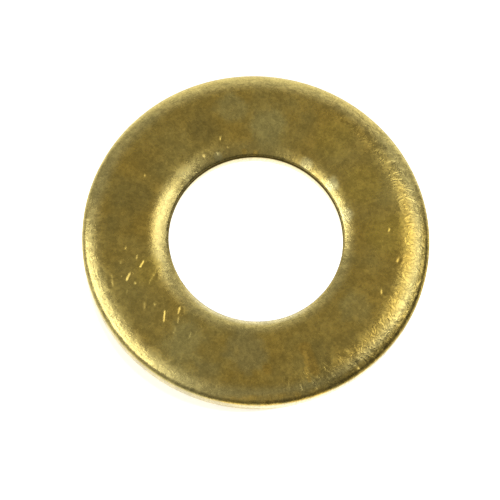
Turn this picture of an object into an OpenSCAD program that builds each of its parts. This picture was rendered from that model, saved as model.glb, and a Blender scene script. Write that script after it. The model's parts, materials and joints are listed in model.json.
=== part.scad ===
// Flat washer stamped from brass strip: one solid ring with a clearance hole for a 3/8 in (M10) bolt.
// It lies on its flat punch-exit face, with the rounded punch-entry face up and the origin at the
// centre of the hole, on the lower face.

/* [Size] */
// Outside diameter
outer_d = 20.6; // [18:0.1:40]
// Diameter of the bolt hole
hole_d = 10.3; // [4:0.1:12]
// Thickness
thickness = 1.65; // [0.8:0.05:3]

/* [Rounded edges of the upper face] */
// Width of the rounding at the outside edge, as a share of the ring's width
outer_roll_share = 0.40; // [0.1:0.01:0.46]
// Width of the rounding at the hole, as a share of the ring's width
inner_roll_share = 0.30; // [0.1:0.01:0.46]
// Drop of the rounding at the outside edge, as a share of the thickness
outer_drop_share = 0.39; // [0.1:0.01:0.42]
// Drop of the rounding at the hole, as a share of the thickness
inner_drop_share = 0.29; // [0.1:0.01:0.42]

/* [Steep corners, where the rounding meets the walls] */
// Width of the outside corner, as a share of the rounding's width
outer_corner_w = 0.13; // [0.05:0.01:0.3]
// Drop of the outside corner, as a share of the rounding's drop
outer_corner_drop = 0.37; // [0.1:0.01:0.6]
// Width of the corner at the hole, as a share of the rounding's width
inner_corner_w = 0.09; // [0.05:0.01:0.3]
// Drop of the corner at the hole, as a share of the rounding's drop
inner_corner_drop = 0.29; // [0.1:0.01:0.6]

/* [Sheared walls] */
// Height above the lower face at which the smooth sheared wall starts, as a share of the thickness
fracture_share = 0.28; // [0.15:0.01:0.5]
// How far the torn wall below it draws back
fracture_taper = 0.05; // [0.02:0.01:0.1]
// Size of the broken edge at the lower face
edge_break = 0.08; // [0.03:0.01:0.1]

/* [Hidden] */
brass = [0.58, 0.49, 0.27];
// Straight steps that make up the gentle crown and the steep corner of each rounding
crown_steps = 8;
corner_steps = 4;
// How much a corner steepens on its way down, from 0 for a straight slope
corner_bend = 0.45;

outer_r = outer_d / 2;
hole_r = hole_d / 2;
ring_w = outer_r - hole_r;
outer_roll_w = outer_roll_share * ring_w;
inner_roll_w = inner_roll_share * ring_w;
outer_drop = outer_drop_share * thickness;
inner_drop = inner_drop_share * thickness;
fracture_h = fracture_share * thickness;

// Shares of a rounding's width at which its surface is drawn, from 0 at the flat to 1 at the wall
function stops(corner_w) = concat(
    [for (i = [0 : crown_steps]) (1 - corner_w) * i / crown_steps],
    [for (i = [1 : corner_steps]) 1 - corner_w * (1 - i / corner_steps)]
);

// Share of a rounding's drop reached at share s of its width: a parabola first, then the corner
function crown(s, corner_w, corner_drop) = (1 - corner_drop) * pow(s / (1 - corner_w), 2);
function corner(t, corner_drop) = 1 - corner_drop + corner_drop * t * (1 - corner_bend * (1 - t));
function roll(s, corner_w, corner_drop) =
    s <= 1 - corner_w
        ? crown(s, corner_w, corner_drop)
        : corner(1 - (1 - s) / corner_w, corner_drop);

// Upper face of the ring's cross-section, from the wall of the hole out to the outside wall
function inner_roll() = [
    for (i = [crown_steps + corner_steps : -1 : 0])
        let (s = stops(inner_corner_w)[i])
        let (drop = inner_drop * roll(s, inner_corner_w, inner_corner_drop))
        [hole_r + inner_roll_w * (1 - s), thickness - drop]
];
function outer_roll() = [
    for (s = stops(outer_corner_w))
        let (drop = outer_drop * roll(s, outer_corner_w, outer_corner_drop))
        [outer_r - outer_roll_w * (1 - s), thickness - drop]
];

// Lower half of the cross-section: each wall's torn stretch, and the broken edges at the lower face
function outer_wall() = [
    [outer_r, fracture_h],
    [outer_r - fracture_taper, edge_break],
    [outer_r - fracture_taper - edge_break, 0]
];
function hole_wall() = [
    [hole_r + fracture_taper + edge_break, 0],
    [hole_r + fracture_taper, edge_break],
    [hole_r, fracture_h]
];

module washer() {
    color(brass)
        rotate_extrude($fn = 180)
            polygon(concat(inner_roll(), outer_roll(), outer_wall(), hole_wall()));
}

washer();
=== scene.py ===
import json
import math

import bpy
import numpy as np
from mathutils import Matrix, Vector, noise


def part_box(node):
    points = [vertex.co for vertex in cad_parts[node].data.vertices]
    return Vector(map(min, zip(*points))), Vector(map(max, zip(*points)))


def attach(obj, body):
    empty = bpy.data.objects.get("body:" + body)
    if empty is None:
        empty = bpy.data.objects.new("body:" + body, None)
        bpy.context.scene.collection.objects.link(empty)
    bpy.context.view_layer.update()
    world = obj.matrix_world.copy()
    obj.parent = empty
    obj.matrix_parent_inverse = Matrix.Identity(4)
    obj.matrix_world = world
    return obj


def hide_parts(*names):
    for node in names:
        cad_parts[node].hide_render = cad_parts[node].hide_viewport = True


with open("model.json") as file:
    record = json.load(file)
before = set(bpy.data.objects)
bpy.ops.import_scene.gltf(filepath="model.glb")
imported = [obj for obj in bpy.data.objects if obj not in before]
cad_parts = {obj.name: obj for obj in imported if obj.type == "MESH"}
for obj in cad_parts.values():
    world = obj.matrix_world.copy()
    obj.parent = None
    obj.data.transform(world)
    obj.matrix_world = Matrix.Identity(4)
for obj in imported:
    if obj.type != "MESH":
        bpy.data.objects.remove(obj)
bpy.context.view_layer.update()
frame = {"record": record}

# ---------------------------------------------------------------------------------------------
# Driving sizes, in metres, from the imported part
# ---------------------------------------------------------------------------------------------
MM = 0.001
MOUNTS = {m["name"]: m for m in frame["record"]["mounts"]}
washer_low, washer_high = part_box("washer")
OUTER_R = (washer_high.x - washer_low.x) / 2
HOLE_R = MOUNTS["bore"]["dims"]["r_mm"] * MM
THICK = washer_high.z - washer_low.z

# How far the undented surface keeps inside the CAD box
SKIN = 0.010 * MM

# The punched edges of the upper face: a gentle crown, then a corner that steepens to a crisp edge
# at the wall
CROWN_OUTER_W = 0.175 * OUTER_R
CROWN_INNER_W = 0.135 * OUTER_R
CROWN_OUTER_SLOPE = math.radians(24)
CROWN_INNER_SLOPE = math.radians(26)
CORNER_OUTER_W = 0.026 * OUTER_R
CORNER_INNER_W = 0.014 * OUTER_R
CORNER_SLOPE = math.radians(57)
CRISP_R = 0.02 * MM

# The sheared walls: smooth from the corner down, then torn and drawn back, with a broken lower edge
TORN_H = 0.26 * THICK
TORN_TAPER = 0.05 * MM
EDGE_BREAK = 0.08 * MM

# Mesh density
AROUND = 800
RINGS_OUTER_CROWN = 26
RINGS_INNER_CROWN = 20
RINGS_CORNER = 6
RINGS_CRISP = 2
RINGS_FLAT = 30
RINGS_SMOOTH_WALL = 5
RINGS_TORN_WALL = 4
RINGS_EDGE = 2
RINGS_UNDER = 10

# Relief of the metal, each as its size across, its depth, and the shift that sets its noise apart
WAVES = (3.0 * MM, 0.014 * MM, 3)
DIMPLES = (0.55 * MM, 0.004 * MM, 11)
RIPPLES_OUTSIDE = (0.25 * MM, 0.008 * MM, 23)
RIPPLES_HOLE = (0.25 * MM, 0.008 * MM, 31)
DRAG_LINES = (0.09 * MM, 0.003 * MM, 47)
TEARS = (0.15 * MM, 0.016 * MM, 59)

# Radii that the ripples are worked out at. They are smaller than the ring's, so the ripples are drawn
# out round it
RIPPLES_OUTSIDE_R = 0.45 * OUTER_R
RIPPLES_HOLE_R = 0.5 * HOLE_R
# How many times as long as they are wide the drag lines run up the wall
DRAG_STRETCH = 10

# Where each kind of relief starts and where it is full: a height, or a distance from the nearer wall
UPPER_FROM = (0.5 * THICK, 0.7 * THICK)
TORN_FROM = (1.15 * TORN_H, 0.75 * TORN_H)
WALL_FROM = (0.12 * MM, 0.07 * MM)
CALM_FROM = (0.35 * MM, 0.1 * MM)
# How much of their depth the ripples lose in the corners
CALM_SHARE = 0.7

# Nicks in the outside corner: how many, the seed they are drawn with, how far in they lie and how far
# they spread there, and their ranges of widths and depths in mm
NICKS = 26
NICK_SEED = 7
NICK_INSET = 0.06 * MM
NICK_SPREAD = 0.10 * MM
NICK_WIDTHS = (0.05, 0.16)
NICK_DEPTHS = (0.003, 0.011)

# Section of a scratch, in half widths from its middle: a groove, with a lip pushed up on each side
GROOVE_FALL = 2
LIP_SHARE = 0.25
LIP_AT = 1.5
LIP_FALL = 4

# Scratches and dings on the upper face:
# degrees round from +X, radius in mm, direction of the scratch in degrees, length, width and depth in mm
MARKS = [
    (206, 7.90, 72, 0.45, 0.26, 0.040),
    (202, 6.90, 66, 0.40, 0.24, 0.038),
    (230, 7.35, 92, 0.60, 0.22, 0.032),
    (210, 7.62, 20, 0.10, 0.28, 0.036),
    (199, 8.05, 40, 0.16, 0.26, 0.028),
    (205, 8.30, 75, 0.12, 0.22, 0.024),
    (193, 7.68, 80, 0.12, 0.24, 0.024),
    (198, 7.10, 85, 0.22, 0.24, 0.026),
    (212, 8.35, 80, 0.18, 0.22, 0.026),
    (221, 7.85, 95, 0.30, 0.34, 0.026),
    (223, 7.25, 30, 0.10, 0.28, 0.026),
    (233, 6.50, 80, 0.32, 0.22, 0.028),
    (236, 6.95, 85, 0.30, 0.22, 0.020),
    (211, 6.70, 70, 0.60, 0.26, 0.020),
    (238, 7.60, 75, 0.30, 0.22, 0.018),
    (245, 7.30, 80, 0.35, 0.22, 0.018),
    (205, 9.05, 105, 0.60, 0.28, 0.018),
    (298, 9.70, 100, 0.30, 0.24, 0.030),
    (293, 9.60, 110, 0.25, 0.24, 0.026),
    (289, 9.30, 92, 0.40, 0.26, 0.020),
    (357, 8.55, 60, 0.15, 0.22, 0.026),
    (342, 8.20, 100, 0.20, 0.22, 0.026),
    (314, 9.85, 110, 0.25, 0.24, 0.028),
    (10, 7.95, 80, 0.12, 0.20, 0.024),
    (157, 7.50, 90, 0.12, 0.22, 0.024),
    (115, 6.45, 75, 0.15, 0.22, 0.026),
    (129, 8.50, 60, 0.15, 0.20, 0.022),
    (103, 5.75, 10, 0.12, 0.20, 0.016),
    (112, 5.85, 30, 0.14, 0.20, 0.020),
    (119, 5.70, 40, 0.12, 0.20, 0.018),
    (127, 5.90, 40, 0.14, 0.22, 0.020),
]


# ---------------------------------------------------------------------------------------------
# Cross-section
# ---------------------------------------------------------------------------------------------
def arc(r, z, inward, radius, start, end, rings):
    """Points (r, z) that go on from (r, z), turning from the slope start to the slope end in radians."""
    slopes = [start + (end - start) * i / rings for i in range(1, rings + 1)]
    return [(r - inward * radius * (math.sin(a) - math.sin(start)),
             z - radius * (math.cos(start) - math.cos(a))) for a in slopes]


def rolled_edge(wall_r, inward, crown_w, slope, corner_w, rings):
    """Points (r, z) of one punched edge, from the flat to the wall.

    inward is 1 at the hole and -1 outside.
    """
    crisp_w = CRISP_R * (1 - math.sin(CORNER_SLOPE))
    corner_r = (corner_w - crisp_w) / (math.sin(CORNER_SLOPE) - math.sin(slope))
    points = []
    for i in range(rings + 1):
        s = i / rings
        points.append((wall_r + inward * (corner_w + crown_w * (1 - s)),
                       THICK - SKIN - crown_w * math.tan(slope) * s * s / 2))
    points += arc(*points[-1], inward, corner_r, slope, CORNER_SLOPE, RINGS_CORNER)
    points += arc(*points[-1], inward, CRISP_R, CORNER_SLOPE, math.pi / 2, RINGS_CRISP)
    return points


def wall(wall_r, inward, top_z):
    """Points (r, z) down the smooth and the torn wall and round the broken lower edge."""
    points = []
    for i in range(1, RINGS_SMOOTH_WALL + 1):
        s = i / RINGS_SMOOTH_WALL
        points.append((wall_r, top_z + (TORN_H - top_z) * s))
    for i in range(1, RINGS_TORN_WALL + 1):
        s = i / RINGS_TORN_WALL
        points.append((wall_r + inward * TORN_TAPER * s, TORN_H + (EDGE_BREAK - TORN_H) * s))
    for i in range(1, RINGS_EDGE + 1):
        a = math.pi / 2 * i / RINGS_EDGE
        points.append((wall_r + inward * (TORN_TAPER + EDGE_BREAK * (1 - math.cos(a))),
                       SKIN + EDGE_BREAK * (1 - math.sin(a))))
    return points


def between(start, end, rings, z):
    """Evenly spaced points (r, z) on a flat face, without its two ends."""
    return [(start + (end - start) * i / rings, z) for i in range(1, rings)]


def cross_section():
    """Closed outline (r, z): up the hole's wall, over the top, down the outside and back under."""
    hole_side = rolled_edge(HOLE_R, 1, CROWN_INNER_W, CROWN_INNER_SLOPE, CORNER_INNER_W,
                            RINGS_INNER_CROWN)
    outer_side = rolled_edge(OUTER_R - SKIN, -1, CROWN_OUTER_W, CROWN_OUTER_SLOPE, CORNER_OUTER_W,
                             RINGS_OUTER_CROWN)
    hole_wall = wall(HOLE_R, 1, hole_side[-1][1])
    outer_wall = wall(OUTER_R - SKIN, -1, outer_side[-1][1])
    flat = between(hole_side[0][0], outer_side[0][0], RINGS_FLAT, THICK - SKIN)
    under = between(outer_wall[-1][0], hole_wall[-1][0], RINGS_UNDER, SKIN)
    return np.array(hole_wall[::-1] + hole_side[::-1] + flat + outer_side + outer_wall + under)


def outline_normals(outline):
    """Outward normals (r, z) of the closed outline."""
    along = np.roll(outline, -1, axis=0) - np.roll(outline, 1, axis=0)
    normal = np.stack([-along[:, 1], along[:, 0]], axis=-1)
    return normal / np.linalg.norm(normal, axis=1, keepdims=True)


# ---------------------------------------------------------------------------------------------
# Relief
# ---------------------------------------------------------------------------------------------
def bumps(points, shift):
    """Smooth noise of about -1 to 1 at each point, with features about 1 across."""
    offset = Vector((shift, shift, shift))
    return np.array([noise.noise(Vector(p) + offset) for p in points])


def smooth_step(value, start, end):
    """0 at start and 1 at end, with soft ends."""
    s = np.clip((value - start) / (end - start), 0, 1)
    return s * s * (3 - 2 * s)


def streaks(angle, around_r, along, size, stretch, shift):
    """Noise with features size wide round a ring of radius around_r and stretch times as long across it.

    along is how far across the ring, or up its wall, each point is.
    """
    points = np.stack([np.cos(angle) * around_r, np.sin(angle) * around_r, along / stretch], axis=-1)
    return bumps(points / size, shift)


def scratch_depth(x, y, mark):
    """Depth at each point of one scratch: a groove with a raised lip on each side."""
    turn, radius, heading, length, width, depth = mark
    turn, heading = math.radians(turn), math.radians(heading)
    dx = x - radius * MM * math.cos(turn)
    dy = y - radius * MM * math.sin(turn)
    along = dx * math.cos(heading) + dy * math.sin(heading)
    across = dy * math.cos(heading) - dx * math.sin(heading)
    beyond = np.maximum(np.abs(along) - length * MM / 2, 0)
    d = np.hypot(across, beyond) / (width * MM / 2)
    return depth * MM * (np.exp(-d * d * GROOVE_FALL) - LIP_SHARE * np.exp(-((d - LIP_AT) ** 2) * LIP_FALL))


def nicks(angle, from_outside):
    """Depth at each point of the small nicks that tumbling leaves in the outside corner."""
    random = np.random.default_rng(NICK_SEED)
    near_corner = np.exp(-((from_outside - NICK_INSET) / NICK_SPREAD) ** 2)
    sunk = np.zeros_like(angle)
    for _ in range(NICKS):
        place = random.uniform(0, 2 * math.pi)
        width = random.uniform(*NICK_WIDTHS) * MM / OUTER_R
        depth = random.uniform(*NICK_DEPTHS) * MM
        away = (angle - place + math.pi) % (2 * math.pi) - math.pi
        sunk += depth * np.exp(-(away / width) ** 2) * near_corner
    return sunk


def relief(x, y, z, radius, angle):
    """How far each point is sunk below the plain ring."""
    points = np.stack([x, y, z], axis=-1)
    from_outside, from_hole = OUTER_R - radius, radius - HOLE_R
    from_wall = np.minimum(from_outside, from_hole)
    upper = smooth_step(z, *UPPER_FROM)
    on_wall = smooth_step(from_wall, *WALL_FROM) * (1 - upper)
    torn = on_wall * smooth_step(z, *TORN_FROM)
    on_outer_crown = upper * smooth_step(from_outside, CROWN_OUTER_W, 0.5 * CROWN_OUTER_W)
    on_hole_crown = upper * smooth_step(from_hole, CROWN_INNER_W, 0.5 * CROWN_INNER_W)
    calm = 1 - CALM_SHARE * smooth_step(from_wall, *CALM_FROM)

    size, depth, shift = WAVES
    sunk = depth * (0.5 + 0.5 * bumps(points / size, shift)) * (1 - on_wall)
    size, depth, shift = DIMPLES
    sunk += depth * np.abs(bumps(points / size, shift))
    for kind, around_r, along, stretch, share in (
            (RIPPLES_OUTSIDE, RIPPLES_OUTSIDE_R, radius, 1, on_outer_crown * calm),
            (RIPPLES_HOLE, RIPPLES_HOLE_R, radius, 1, on_hole_crown * calm),
            (DRAG_LINES, radius, z, DRAG_STRETCH, on_wall)):
        size, depth, shift = kind
        sunk += depth * (0.5 + 0.5 * streaks(angle, around_r, along, size, stretch, shift)) * share
    size, depth, shift = TEARS
    sunk += depth * (0.5 + 0.5 * bumps(points / size, shift)) * torn
    sunk += nicks(angle, from_outside) * upper
    for mark in MARKS:
        sunk += scratch_depth(x, y, mark) * upper
    return sunk


def build_washer():
    """The ring as a revolved mesh of quads, with its relief."""
    outline = cross_section()
    normals = outline_normals(outline)
    rings = len(outline)
    angle = np.repeat(np.linspace(0, 2 * math.pi, AROUND, endpoint=False), rings)
    radius, z = np.tile(outline[:, 0], AROUND), np.tile(outline[:, 1], AROUND)
    normal_r, normal_z = np.tile(normals[:, 0], AROUND), np.tile(normals[:, 1], AROUND)
    sunk = relief(np.cos(angle) * radius, np.sin(angle) * radius, z, radius, angle)
    radius, z = radius - normal_r * sunk, z - normal_z * sunk
    points = np.stack([np.cos(angle) * radius, np.sin(angle) * radius, z], axis=-1)
    a, k = np.meshgrid(np.arange(AROUND), np.arange(rings), indexing="ij")
    a2, k2 = (a + 1) % AROUND, (k + 1) % rings
    corners = [a * rings + k, a * rings + k2, a2 * rings + k2, a2 * rings + k]
    mesh = bpy.data.meshes.new("washer_body")
    mesh.from_pydata(points.tolist(), [], np.stack(corners, axis=-1).reshape(-1, 4).tolist())
    mesh.shade_smooth()
    mesh.update()
    obj = bpy.data.objects.new("washer_body", mesh)
    bpy.context.scene.collection.objects.link(obj)
    return obj


# ---------------------------------------------------------------------------------------------
# Materials
# ---------------------------------------------------------------------------------------------
# The two colour inputs and the colour output of a Mix node, whose names repeat on its other sockets
MIX_A, MIX_B, MIX_RESULT = 6, 7, 2


class Graph:
    """Short names for the shader nodes that the materials and the world are made of."""

    def __init__(self, tree):
        self.tree = tree

    def give(self, socket, value):
        """Links a node's output to the socket, or sets the socket's own value."""
        if isinstance(value, bpy.types.NodeSocket):
            self.tree.links.new(value, socket)
        else:
            socket.default_value = value

    def math(self, operation, *values):
        node = self.tree.nodes.new("ShaderNodeMath")
        node.operation = operation
        for socket, value in zip(node.inputs, values):
            self.give(socket, value)
        return node.outputs["Value"]

    def vector(self, operation, *values, scale=None):
        node = self.tree.nodes.new("ShaderNodeVectorMath")
        node.operation = operation
        for socket, value in zip(node.inputs, values):
            self.give(socket, value)
        if scale is not None:
            self.give(node.inputs["Scale"], scale)
        return node.outputs["Value" if operation in ("LENGTH", "DOT_PRODUCT") else "Vector"]

    def step(self, value, start, end, low=0.0, high=1.0):
        """low while value is short of start and high past end, with a soft change between.

        start may be above end.
        """
        node = self.tree.nodes.new("ShaderNodeMapRange")
        node.interpolation_type = "SMOOTHSTEP"
        if start > end:
            start, end, low, high = end, start, high, low
        for name, number in (("From Min", start), ("From Max", end), ("To Min", low), ("To Max", high)):
            node.inputs[name].default_value = number
        self.give(node.inputs["Value"], value)
        return node.outputs["Result"]

    def noise(self, vector, size, detail=2.0, rough=0.5, warp=0.0):
        """Noise from 0 to 1 with features about size across, which warp bends into scales."""
        node = self.tree.nodes.new("ShaderNodeTexNoise")
        self.give(node.inputs["Vector"], vector)
        node.inputs["Scale"].default_value = 1 / size
        node.inputs["Detail"].default_value = detail
        node.inputs["Roughness"].default_value = rough
        node.inputs["Distortion"].default_value = warp
        return node.outputs["Fac"]

    def blend(self, share, a, b, kind="MIX"):
        node = self.tree.nodes.new("ShaderNodeMix")
        node.data_type = "RGBA"
        node.blend_type = kind
        self.give(node.inputs["Factor"], share)
        self.give(node.inputs[MIX_A], a)
        self.give(node.inputs[MIX_B], b)
        return node.outputs[MIX_RESULT]

    def split(self, vector):
        node = self.tree.nodes.new("ShaderNodeSeparateXYZ")
        self.give(node.inputs["Vector"], vector)
        return node.outputs["X"], node.outputs["Y"], node.outputs["Z"]

    def join(self, x, y, z):
        node = self.tree.nodes.new("ShaderNodeCombineXYZ")
        for socket, value in zip(node.inputs, (x, y, z)):
            self.give(socket, value)
        return node.outputs["Vector"]


# Reflection colours of the metal: sheared, torn, a dark line of painted shade under the hole's corner,
# worn, a pale painted highlight on the hole's near lip, painted highlights in small spots on its rim,
# and under each kind of tarnish
SHEARED = (0.70, 0.60, 0.32, 1)
TORN = (0.80, 0.72, 0.46, 1)
HOLE_SHADE_LINE = (0.10, 0.077, 0.028, 1)
WORN = (0.66, 0.585, 0.255, 1)
LIP_HIGHLIGHT = (0.86, 0.80, 0.52, 1)
PAINTED_RIM_HIGHLIGHT = (0.80, 0.72, 0.34, 1)
OLIVE = (0.535, 0.411, 0.112, 1)
BROWN = (0.545, 0.376, 0.078, 1)
GOLD = (0.64, 0.465, 0.088, 1)
AMBER = (0.80, 0.54, 0.110, 1)
RUST = (0.55, 0.35, 0.062, 1)
SMOKE = (0.38, 0.285, 0.076, 1)
PALE = (0.61, 0.52, 0.185, 1)
GREY = (0.50, 0.42, 0.160, 1)
WHITE = (1, 1, 1, 1)
# Dark specular tint of the line of painted shade under the hole's corner, which dims its reflections
HOLE_SHADE_LINE_GLINT = (0.25, 0.22, 0.12, 1)

# Zones of the metal in mm, each from where it starts to where it is full
OUTER_MM, HOLE_MM, THICK_MM = OUTER_R / MM, HOLE_R / MM, THICK / MM
WORN_OUTSIDE = (0.875 * OUTER_MM, 0.955 * OUTER_MM)
WORN_HOLE = (1.23 * HOLE_MM, 1.07 * HOLE_MM)
ROLLED_OUTSIDE = (0.82 * OUTER_MM, 0.87 * OUTER_MM)
ROLLED_HOLE = (1.20 * HOLE_MM, 1.06 * HOLE_MM)
# Where the pale painted highlight on the hole's near lip lies: its radii, and how far towards the near side
HOLE_LIP_HIGHLIGHT = (1.08 * HOLE_MM, 1.01 * HOLE_MM)
HOLE_LIP_HIGHLIGHT_Y = (-3.2, -4.9)
WALL_OUTSIDE = (OUTER_MM - 0.10, OUTER_MM - 0.03)
WALL_HOLE = (HOLE_MM + 0.10, HOLE_MM + 0.03)
SHEARED_Z = (0.60 * THICK_MM, 0.50 * THICK_MM)
TORN_Z = (0.55 * THICK_MM, 0.30 * THICK_MM)
# Heights of the dark line of painted shade just under the hole's corner
HOLE_SHADE_LINE_UNDER_Z = (0.745 * THICK_MM, 0.715 * THICK_MM)
HOLE_SHADE_LINE_OVER_Z = (0.54 * THICK_MM, 0.60 * THICK_MM)

# The worn edge of the hole narrows towards the right, by this many mm per mm, and is fainter on the far
# side
WORN_HOLE_LEAN = 0.035
WORN_HOLE_Y = (5.6, 3.0)
WORN_HOLE_FAR = 0.3

# Stretches of the outside rim, each as its radius, the way it lies, and how far out that way it starts:
# tarnished over the wear, and gilded
TARNISHED_RIM = ((0.935 * OUTER_MM, 0.97 * OUTER_MM), (0.92, -0.39, 0.0), (6.0, 9.0))
GILT_RIM = ((0.925 * OUTER_MM, 0.955 * OUTER_MM), (0.20, -0.98, 0.0), (9.4, 9.9))

# Marks of tumbling are plainest on the rolled edges, and of those on the right
BATTERED_WAY = (1.0, 0.0, 0.0)
BATTERED_FROM = (-0.2, 0.9)
BATTERED_LEAST = 0.25
BATTERED_HOLE = 0.5

# How strongly wear, the painted highlight on the hole's lip and gilding colour the metal, and how much
# wear the tarnished rim hides
WORN_SHARE = 0.55
HOLE_LIP_HIGHLIGHT_SHARE = 0.75
GILT_SHARE = (0.3, 0.8)
TARNISHED_SHARE = 0.85

# Noise patterns of the metal: size in mm, detail, roughness and warp
CLOUDS = (2.6, 2.0, 0.5)
SWIRLS = (1.1, 3.0, 0.55)
BLOTCHES = (0.45, 3.0, 0.6)
GRAIN = (0.14, 3.0, 0.7, 0.5)
FINE_GRAIN = (0.06, 2.0, 0.5)
SCALES = (0.62, 3.0, 0.62, 0.9)
STROKES = (0.17, 3.0, 0.65, 0.8)
BROAD_STROKES = (0.35, 2.0, 0.5)

# How many times as long the scales and the broad strokes are across the ring as round it, and the fine
# strokes round it as across it
SCALES_ACROSS = 1.2
BROAD_STROKES_ACROSS = 4.0
STROKES_ROUND = 3

# Values of a noise pattern between which it takes effect
TARNISH_FROM = (0.40, 0.90)
GILT_FROM = (0.35, 0.60)
SWIRLS_FROM = (0.30, 0.70)
PATTERN_FROM = (0.25, 0.75)
ROUGH_FROM = (0.3, 0.7)
# How far the swirls shift the tarnish of the clouds
SWIRLED_CLOUDS = 0.3

# How much each pattern lightens and darkens the metal
BLOTCHES_SHADE = 0.07
GRAIN_SHADE = 0.20
BROAD_STROKES_SHADE = 0.06
SWIRLS_SHADE = (0.94, 1.06)
CREASE_W = 0.07
CREASE_SHADE = (-0.07, 0.26)

# Height of the fine relief that only bends the light, in mm
STROKES_H = 0.003
WORN_STROKES_H = 0.007
CREASES_H = 0.043
GRAIN_H = 0.004
FINE_GRAIN_H = 0.0012

ROUGHNESS = (0.22, 0.32)
# How much rougher the line of painted shade under the hole's corner is
HOLE_SHADE_LINE_ROUGHER = 0.3

# Border of a patch, in sizes of the patch: how ragged it is, and where it starts and is full
PATCH_RAGGED = 1.6
PATCH_FROM = (1.3, 0.5)

# Patches of tarnish, of bright wear and of painted highlight on the upper face:
# degrees round from +X, radius in mm, size and length along the radius in mm, strength from 0 to 1, colour
PATCHES = [
    (122, 7.4, 0.9, 0.0, 0.70, SMOKE),
    (150, 7.8, 1.1, 0.0, 0.35, SMOKE),
    (168, 7.8, 1.3, 0.0, 0.60, SMOKE),
    (182, 8.4, 0.9, 0.0, 0.45, SMOKE),
    (152, 5.7, 0.5, 0.0, 0.45, SMOKE),
    (222, 8.2, 0.7, 0.0, 0.30, SMOKE),
    (302, 8.5, 0.9, 0.6, 0.65, SMOKE),
    (287, 8.2, 0.7, 0.0, 0.35, SMOKE),
    (316, 8.2, 0.9, 0.0, 0.35, SMOKE),
    (8, 7.8, 1.3, 0.0, 0.65, GOLD),
    (35, 7.0, 1.3, 0.0, 0.60, GOLD),
    (60, 7.6, 1.2, 0.0, 0.45, GOLD),
    (206, 6.8, 0.9, 0.0, 0.55, GOLD),
    # These two amber spots on the hole's far rim are painted highlights: golden glints
    (97, 5.30, 0.16, 0.0, 0.70, AMBER),
    (104, 5.40, 0.18, 0.0, 0.65, AMBER),
    # These four pale spots on the hole's rim are painted highlights
    (121, 5.55, 0.25, 0.0, 0.40, PAINTED_RIM_HIGHLIGHT),
    (64, 5.55, 0.40, 0.0, 0.50, PAINTED_RIM_HIGHLIGHT),
    (44, 5.65, 0.50, 0.0, 0.70, PAINTED_RIM_HIGHLIGHT),
    (22, 5.60, 0.40, 0.0, 0.60, PAINTED_RIM_HIGHLIGHT),
    (90, 7.0, 1.1, 0.0, 0.65, PALE),
    (107, 8.2, 1.0, 0.0, 0.55, PALE),
    (244, 8.0, 1.2, 0.6, 0.60, PALE),
    (330, 7.4, 1.0, 0.0, 0.35, PALE),
    (272, 7.2, 1.1, 0.6, 0.60, GREY),
    (258, 9.0, 0.8, 0.0, 0.40, GREY),
    (299, 8.2, 0.36, 1.4, 0.60, RUST),
    (299, 7.5, 0.11, 0.25, 0.40, AMBER),
    (298, 7.9, 0.12, 0.30, 0.60, AMBER),
    (297, 8.4, 0.11, 0.25, 0.55, AMBER),
    (296, 8.8, 0.14, 0.25, 0.65, AMBER),
    (296, 9.3, 0.12, 0.20, 0.55, AMBER),
    (281, 8.3, 0.25, 0.2, 0.60, RUST),
]


def patch_mask(graph, point, edge, degrees, radius, size, length):
    """1 inside one patch and 0 outside, with a soft ragged border. edge is noise from 0 to 1."""
    turn = math.radians(degrees)
    along = graph.vector("DOT_PRODUCT", point, (math.cos(turn), math.sin(turn), 0))
    across = graph.vector("DOT_PRODUCT", point, (-math.sin(turn), math.cos(turn), 0))
    from_middle = graph.math("ABSOLUTE", graph.math("SUBTRACT", along, radius))
    beyond = graph.math("SUBTRACT", from_middle, length / 2)
    away = graph.vector("LENGTH", graph.join(graph.math("MAXIMUM", beyond, 0.0), across, 0.0))
    reach = graph.math("MULTIPLY_ADD", graph.math("SUBTRACT", edge, 0.5), PATCH_RAGGED * size, away)
    return graph.step(reach, PATCH_FROM[0] * size, PATCH_FROM[1] * size)


class Place:
    """Where a point of the washer is, in mm."""

    def __init__(self, graph, texture):
        self.point = graph.vector("SCALE", texture.outputs["Object"], scale=1 / MM)
        self.x, self.y, self.z = graph.split(self.point)
        flat = graph.join(self.x, self.y, 0.0)
        self.radius = graph.vector("LENGTH", flat)
        self.heading = graph.vector("NORMALIZE", flat)


def rim_stretch(graph, place, stretch):
    """1 on one stretch of the outside rim and 0 elsewhere."""
    radii, way, reach = stretch
    out = graph.vector("DOT_PRODUCT", place.point, way)
    return graph.math("MULTIPLY", graph.step(place.radius, *radii), graph.step(out, *reach))


def worn_zone(graph, place):
    """How worn the metal is: 1 on the rolled edges and 0 on the flat."""
    untarnished = graph.math("MULTIPLY_ADD", rim_stretch(graph, place, TARNISHED_RIM), -TARNISHED_SHARE, 1.0)
    outside = graph.math("MULTIPLY", graph.step(place.radius, *WORN_OUTSIDE), untarnished)
    leaning = graph.math("MULTIPLY_ADD", place.x, WORN_HOLE_LEAN, place.radius)
    far_side = graph.step(place.y, *WORN_HOLE_Y, WORN_HOLE_FAR, 1.0)
    hole = graph.math("MULTIPLY", graph.step(leaning, *WORN_HOLE), far_side)
    return graph.math("MAXIMUM", outside, hole)


def wall_zones(graph, place):
    """Masks of the sheared walls, and of a dark line of painted shade just under the corner at the hole."""
    hole = graph.step(place.radius, *WALL_HOLE)
    walls = graph.math("MAXIMUM", graph.step(place.radius, *WALL_OUTSIDE), hole)
    sheared = graph.math("MULTIPLY", walls, graph.step(place.z, *SHEARED_Z))
    line = graph.math("MULTIPLY", graph.step(place.z, *HOLE_SHADE_LINE_UNDER_Z), graph.step(place.z, *HOLE_SHADE_LINE_OVER_Z))
    return sheared, graph.math("MULTIPLY", line, hole)


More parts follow.
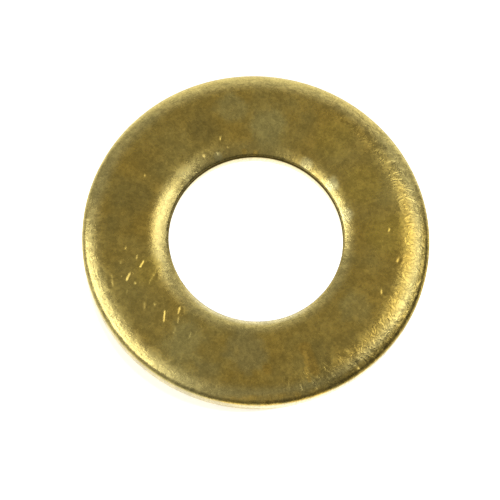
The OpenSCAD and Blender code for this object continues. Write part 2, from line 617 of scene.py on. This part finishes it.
def tumbling(graph, place):
    """What tumbling leaves: how battered the metal is, its creases, and its fine and its broad strokes."""
    side = graph.vector("DOT_PRODUCT", place.heading, BATTERED_WAY)
    rolled = graph.math("MAXIMUM", graph.step(place.radius, *ROLLED_OUTSIDE),
                        graph.step(place.radius, *ROLLED_HOLE, 0.0, BATTERED_HOLE))
    battered = graph.math("MULTIPLY", graph.step(side, *BATTERED_FROM, BATTERED_LEAST, 1.0), rolled)
    x, y, _ = graph.split(graph.vector("SCALE", place.heading, scale=OUTER_MM))
    scales = graph.noise(graph.join(x, y, graph.math("DIVIDE", place.radius, SCALES_ACROSS)), *SCALES)
    creases = graph.math("ABSOLUTE", graph.math("SUBTRACT", scales, 0.5))
    across = graph.math("DIVIDE", place.radius, BROAD_STROKES_ACROSS)
    broad_strokes = graph.noise(graph.join(x, y, across), *BROAD_STROKES)
    x, y, _ = graph.split(graph.vector("SCALE", place.heading, scale=OUTER_MM / STROKES_ROUND))
    strokes = graph.noise(graph.join(x, y, place.radius), *STROKES)
    return battered, creases, strokes, broad_strokes


def brass_colour(graph, place, worn, sheared, hole_shade_line, swirls):
    """Colour of the metal before its fine light and dark: tarnish, wear, patches, bare walls, painted
    highlight and shade.
    """
    clouds = graph.noise(place.point, *CLOUDS)
    tarnish = graph.step(graph.math("MULTIPLY_ADD", swirls, SWIRLED_CLOUDS, clouds), *TARNISH_FROM)
    # A pale painted highlight on the hole's near lip
    lip_highlight = graph.math("MULTIPLY", graph.step(place.radius, *HOLE_LIP_HIGHLIGHT), graph.step(place.y, *HOLE_LIP_HIGHLIGHT_Y))
    gilt = graph.math("MULTIPLY", rim_stretch(graph, place, GILT_RIM),
                      graph.step(swirls, *GILT_FROM, *GILT_SHARE))
    colour = graph.blend(tarnish, OLIVE, BROWN)
    colour = graph.blend(graph.math("MULTIPLY", worn, WORN_SHARE), colour, WORN)
    colour = graph.blend(graph.math("MULTIPLY", lip_highlight, HOLE_LIP_HIGHLIGHT_SHARE), colour, LIP_HIGHLIGHT)
    for degrees, radius, size, length, strength, tint in PATCHES:
        mask = patch_mask(graph, place.point, swirls, degrees, radius, size, length)
        colour = graph.blend(graph.math("MULTIPLY", mask, strength), colour, tint)
    colour = graph.blend(gilt, colour, AMBER)
    colour = graph.blend(sheared, colour, graph.blend(graph.step(place.z, *TORN_Z), SHEARED, TORN))
    # A dark line of painted shade just under the hole's corner
    return graph.blend(hole_shade_line, colour, HOLE_SHADE_LINE)


def brass_material():
    """Tumbled brass, unevenly tarnished, worn brighter on its rolled edges and clean where it was sheared."""
    material = bpy.data.materials.new("tarnished_brass")
    material.use_nodes = True
    graph = Graph(material.node_tree)
    shader = material.node_tree.nodes["Principled BSDF"]
    shader.inputs["Metallic"].default_value = 1.0

    place = Place(graph, material.node_tree.nodes.new("ShaderNodeTexCoord"))
    worn = worn_zone(graph, place)
    sheared, hole_shade_line = wall_zones(graph, place)
    battered, creases, strokes, broad_strokes = tumbling(graph, place)
    swirls = graph.noise(place.point, *SWIRLS)
    blotches = graph.noise(place.point, *BLOTCHES)
    grain = graph.noise(place.point, *GRAIN)

    colour = brass_colour(graph, place, worn, sheared, hole_shade_line, swirls)
    shade = graph.step(swirls, *SWIRLS_FROM, *SWIRLS_SHADE)
    for pattern, depth in ((blotches, BLOTCHES_SHADE), (grain, GRAIN_SHADE),
                           (broad_strokes, BROAD_STROKES_SHADE)):
        shade = graph.math("MULTIPLY", shade, graph.step(pattern, *PATTERN_FROM, 1 - depth, 1 + depth))
    valleys = graph.math("MULTIPLY", battered, graph.step(creases, CREASE_W, 0.0, *CREASE_SHADE))
    shade = graph.math("MULTIPLY", shade, graph.math("SUBTRACT", 1.0, valleys))
    colour = graph.blend(1.0, colour, graph.join(shade, shade, shade), "MULTIPLY")
    graph.give(shader.inputs["Base Color"], colour)

    rough = graph.step(blotches, *ROUGH_FROM, *ROUGHNESS)
    # The line of painted shade is rougher, and its dark specular tint dims its reflections
    graph.give(shader.inputs["Roughness"], graph.math("MULTIPLY_ADD", hole_shade_line, HOLE_SHADE_LINE_ROUGHER, rough))
    graph.give(shader.inputs["Specular Tint"], graph.blend(hole_shade_line, WHITE, HOLE_SHADE_LINE_GLINT))

    height = graph.math("MULTIPLY", strokes, graph.math("MULTIPLY_ADD", worn, WORN_STROKES_H, STROKES_H))
    height = graph.math("MULTIPLY_ADD", graph.math("MULTIPLY", creases, battered), CREASES_H, height)
    height = graph.math("MULTIPLY_ADD", grain, GRAIN_H, height)
    height = graph.math("MULTIPLY_ADD", graph.noise(place.point, *FINE_GRAIN), FINE_GRAIN_H, height)
    bump = material.node_tree.nodes.new("ShaderNodeBump")
    bump.inputs["Distance"].default_value = MM
    graph.give(bump.inputs["Height"], height)
    graph.give(shader.inputs["Normal"], bump.outputs["Normal"])
    return material


# The floor: its half width and looks, its glow near the washer and far off, and the radii between which
# the one gives way to the other
FLOOR_HALF = 3.0
FLOOR_COLOUR = (0.85, 0.85, 0.85, 1)
FLOOR_ROUGHNESS = 0.9
FLOOR_GLOW = 0.75
FLOOR_GLOW_FAR = 0.50
WHITE_REACH = 23 * MM
GREY_REACH = 70 * MM
# A brighter border along the washer's outside and inside its hole
EDGE_GLOW = 0.5
HOLE_GLOW = 0.4
EDGE_REACH = 0.6 * MM
# Radii, hidden under the washer, between which the hole's glow gives way to the outside's
UNDER_RING = (0.7 * OUTER_R, 0.9 * OUTER_R)
# A faint warm shade beside the washer, on its near left side
SHADE = 0.18
SHADE_AT = (-0.75 * MM, -1.41 * MM)
SHADE_R = OUTER_R - 1.3 * MM
SHADE_REACH = 0.30 * MM
SHADE_COLOUR = (1.0, 0.95, 0.82, 1)


def floor_material():
    """Glowing white floor: brighter right round the washer, grey far off and faintly shaded on one side."""
    material = bpy.data.materials.new("white_sweep")
    material.use_nodes = True
    graph = Graph(material.node_tree)
    shader = material.node_tree.nodes["Principled BSDF"]
    shader.inputs["Base Color"].default_value = FLOOR_COLOUR
    shader.inputs["Roughness"].default_value = FLOOR_ROUGHNESS
    texture = material.node_tree.nodes.new("ShaderNodeTexCoord")
    away = graph.vector("LENGTH", texture.outputs["Object"])
    glow = graph.step(away, WHITE_REACH, GREY_REACH, FLOOR_GLOW, FLOOR_GLOW_FAR)
    outside = graph.step(away, *UNDER_RING, HOLE_GLOW, EDGE_GLOW)
    edge = graph.math("MULTIPLY", graph.step(away, OUTER_R + EDGE_REACH, OUTER_R), outside)
    edge = graph.math("MULTIPLY", edge, graph.step(away, HOLE_R - EDGE_REACH, HOLE_R))
    aside = graph.vector("LENGTH", graph.vector("SUBTRACT", texture.outputs["Object"], (*SHADE_AT, 0.0)))
    shaded = graph.math("MULTIPLY", graph.step(aside, SHADE_R + SHADE_REACH, SHADE_R),
                        graph.step(away, *UNDER_RING))
    glow = graph.math("MULTIPLY", glow, graph.math("MULTIPLY_ADD", shaded, -SHADE, 1.0))
    edge = graph.math("MULTIPLY", edge, graph.math("SUBTRACT", 1.0, shaded))
    graph.give(shader.inputs["Emission Strength"], graph.math("ADD", glow, edge))
    graph.give(shader.inputs["Emission Color"], graph.blend(shaded, WHITE, SHADE_COLOUR))
    return material


# ---------------------------------------------------------------------------------------------
# Stage, lights and camera
# ---------------------------------------------------------------------------------------------
# Softboxes: name, way from the washer, way of the long side, width, length and radiance
SOFTBOX_DISTANCE = 0.5
SOFTBOXES = [
    ("softbox_left", (-0.687, -0.143, 0.71), (-0.22, 0.52, -0.15), 0.13, 0.41, 3.95),
    ("softbox_right", (0.535, 0.26, 0.80), (-0.25, 0.68, -0.15), 0.195, 0.29, 2.4),
    ("softbox_low", (-0.39, -0.355, 0.85), (0.66, -0.71, 0.23), 0.11, 0.15, 1.0),
]

# Brightness of the surroundings: the ceiling, the sweep behind, the room in front on its dark and its
# light side, and the horizon
CEILING = 0.335
SWEEP = 1.3
ROOM = 0.10
ROOM_LEFT = 0.40
HORIZON = 0.75
STUDIO_COLOUR = (1, 0.975, 0.885, 1)
# Where each starts and where it is full, as coordinates of the direction looked in
SWEEP_Z, SWEEP_Y = (0.56, 0.38), (0.60, 0.85)
ROOM_Z, ROOM_Y = (0.80, 0.50), (0.72, 0.38)
ROOM_DARK_X = (-0.75, -0.15)
HORIZON_Z = (0.12, 0.02)
# How much higher the room reaches towards the right
ROOM_LEAN = 0.35

CAMERA_ELEVATION = 71.2
CAMERA_ROLL = 6.9
LENS = 500.0
SENSOR = 36.0
CLIP_START, CLIP_END = 0.01, 10
FRAME_W = 29.57 * MM
# How far the washer's centre lies right of and above the middle of the frame, as shares of its width
CENTRE_RIGHT = 0.0116
CENTRE_UP = 0.0194


def add_floor():
    mesh = bpy.data.meshes.new("floor")
    corners = [(-FLOOR_HALF, -FLOOR_HALF, 0), (FLOOR_HALF, -FLOOR_HALF, 0),
               (FLOOR_HALF, FLOOR_HALF, 0), (-FLOOR_HALF, FLOOR_HALF, 0)]
    mesh.from_pydata(corners, [], [(0, 1, 2, 3)])
    mesh.materials.append(floor_material())
    obj = bpy.data.objects.new("floor", mesh)
    bpy.context.scene.collection.objects.link(obj)


def add_softbox(name, direction, along, width, length, radiance):
    """A rectangular light that faces the washer, with its long side the way of along."""
    data = bpy.data.lights.new(name, "AREA")
    data.shape = "RECTANGLE"
    data.size = width
    data.size_y = length
    data.energy = radiance * math.pi * width * length
    back = Vector(direction).normalized()
    across = Vector(along).cross(back).normalized()
    obj = bpy.data.objects.new(name, data)
    obj.location = back * SOFTBOX_DISTANCE
    obj.rotation_euler = Matrix((across, back.cross(across), back)).transposed().to_euler()
    bpy.context.scene.collection.objects.link(obj)


def add_world():
    """A grey ceiling, a bright sweep behind, a room in front that is lighter on the left, and a horizon."""
    world = bpy.data.worlds.new("studio")
    bpy.context.scene.world = world
    world.use_nodes = True
    graph = Graph(world.node_tree)
    texture = world.node_tree.nodes.new("ShaderNodeTexCoord")
    x, y, z = graph.split(texture.outputs["Generated"])
    sweep = graph.math("MULTIPLY", graph.step(z, *SWEEP_Z), graph.step(y, *SWEEP_Y))
    leaning = graph.math("MULTIPLY_ADD", graph.math("MAXIMUM", x, 0.0), -ROOM_LEAN, z)
    room = graph.math("MULTIPLY", graph.step(leaning, *ROOM_Z), graph.step(y, *ROOM_Y))
    level = graph.math("MULTIPLY_ADD", sweep, SWEEP - CEILING, CEILING)
    change = graph.step(x, *ROOM_DARK_X, ROOM_LEFT - CEILING, ROOM - CEILING)
    level = graph.math("ADD", level, graph.math("MULTIPLY", room, change))
    level = graph.math("MAXIMUM", level, graph.step(z, *HORIZON_Z, 0.0, HORIZON))
    background = world.node_tree.nodes["Background"]
    background.inputs["Color"].default_value = STUDIO_COLOUR
    graph.give(background.inputs["Strength"], level)


def add_camera():
    data = bpy.data.cameras.new("camera")
    data.lens = LENS
    data.sensor_width = SENSOR
    data.clip_start = CLIP_START
    data.clip_end = CLIP_END
    elevation = math.radians(CAMERA_ELEVATION)
    back = Vector((0, -math.cos(elevation), math.sin(elevation)))
    roll = Matrix.Rotation(math.radians(CAMERA_ROLL), 3, "Z").to_quaternion()
    turn = back.to_track_quat("Z", "Y") @ roll
    aside = turn @ Vector((-CENTRE_RIGHT * FRAME_W, -CENTRE_UP * FRAME_W, 0))
    obj = bpy.data.objects.new("camera", data)
    obj.location = Vector((0, 0, THICK / 2)) + aside + back * (FRAME_W * LENS / SENSOR)
    obj.rotation_mode = "QUATERNION"
    obj.rotation_quaternion = turn
    bpy.context.scene.collection.objects.link(obj)
    bpy.context.scene.camera = obj


washer = build_washer()
washer.data.materials.append(brass_material())
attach(washer, "root")
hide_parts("washer")
add_floor()
add_world()
for softbox in SOFTBOXES:
    add_softbox(*softbox)
add_camera()
bpy.context.scene.view_settings.view_transform = "Standard"
